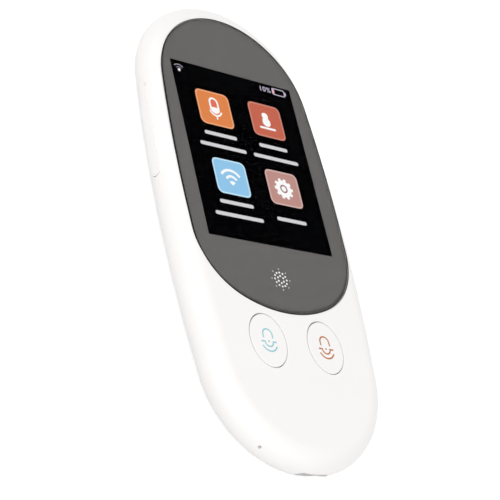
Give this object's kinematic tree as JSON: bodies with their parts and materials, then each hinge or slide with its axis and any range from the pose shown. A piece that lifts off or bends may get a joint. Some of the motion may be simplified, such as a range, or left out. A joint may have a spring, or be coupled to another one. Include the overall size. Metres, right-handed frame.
{
  "type": "handheld translator",
  "caption": "Slim white handheld voice translator with a bonded display lens, two oval talk buttons, side keys and a charging socket.",
  "frame": {"origin": "middle of the flat back face", "axes": "+Z out of the front face, +Y towards the display end, +X to the right as the face is read"},
  "size_m": [0.0549, 0.1233, 0.0108],
  "materials": {
    "white_shell": "fine satin, moulded",
    "white_keys": "fine satin, moulded",
    "cover_glass": "clear, polished",
    "grey_print": "even grey print under glass",
    "display": "black panel with a lit menu",
    "white_mesh": "fine white mesh",
    "white_parts": "matt",
    "cream_parts": "matt",
    "black_parts": "matt",
    "black_rubber": "matt",
    "black_foam": "soft foam tape",
    "steel": "bright nickel",
    "brass_parts": "gold plated",
    "flex": "amber film",
    "circuit_board": "solder mask",
    "battery_wrap": "foil pouch",
    "lead_insulation": "wire insulation",
    "blue_mark": "two-shot inlay",
    "orange_mark": "two-shot inlay"
  },
  "bodies": {
    "device": {"front_housing": "white_shell", "back_cover": "white_shell", "lens": "cover_glass", "lens_print": "grey_print", "lens_adhesive": "black_foam", "grille_mesh": "white_mesh", "optical_bond": "cover_glass", "display_panel": "display", "backlight": "white_parts", "display_shield": "steel", "display_flex": "flex", "display_connector": "cream_parts", "talk_switches": "black_parts", "rocker_pin": "steel", "volume_switches": "black_parts", "power_switch": "black_parts", "speaker": "black_parts", "speaker_gasket": "black_foam", "speaker_contacts": "brass_parts", "main_board": "circuit_board", "board_screws": "steel", "cover_screws": "steel", "processor": "black_parts", "memory_chip": "black_parts", "shield_can": "steel", "power_chip": "black_parts", "wifi_antenna": "cream_parts", "microphones": "brass_parts", "mic_boots": "black_rubber", "usb_socket": "steel", "usb_tongue": "black_parts", "battery": "battery_wrap", "battery_pad": "black_foam", "battery_board": "circuit_board", "battery_leads": "lead_insulation", "battery_plug": "cream_parts"},
    "left_talk": {"left_talk_button": "white_keys", "left_button_mark": "blue_mark", "left_switch_plunger": "brass_parts"},
    "right_talk": {"right_talk_button": "white_keys", "right_button_mark": "orange_mark", "right_switch_plunger": "brass_parts"},
    "volume": {"volume_rocker": "white_keys"},
    "power": {"power_key": "white_keys"}
  },
  "joints": [
    {"name": "left_talk_press", "type": "slide", "parent": "device", "child": "left_talk", "axis": [0, 0, -1], "range_m": [0, 0.0004], "stiffness_N_per_m": 3000},
    {"name": "right_talk_press", "type": "slide", "parent": "device", "child": "right_talk", "axis": [0, 0, -1], "range_m": [0, 0.0004], "stiffness_N_per_m": 3000},
    {"name": "volume_tilt", "type": "hinge", "parent": "device", "child": "volume", "pos_m": [-0.02326, 0.01871, 0.0063], "axis": [0, 0, 1], "range_deg": [-1.2, 1.2], "stiffness_Nm_per_rad": 0.5},
    {"name": "power_press", "type": "slide", "parent": "device", "child": "power", "axis": [-0.9986, -0.0525, 0], "range_m": [0, 0.0003], "stiffness_N_per_m": 3000}
  ]
}
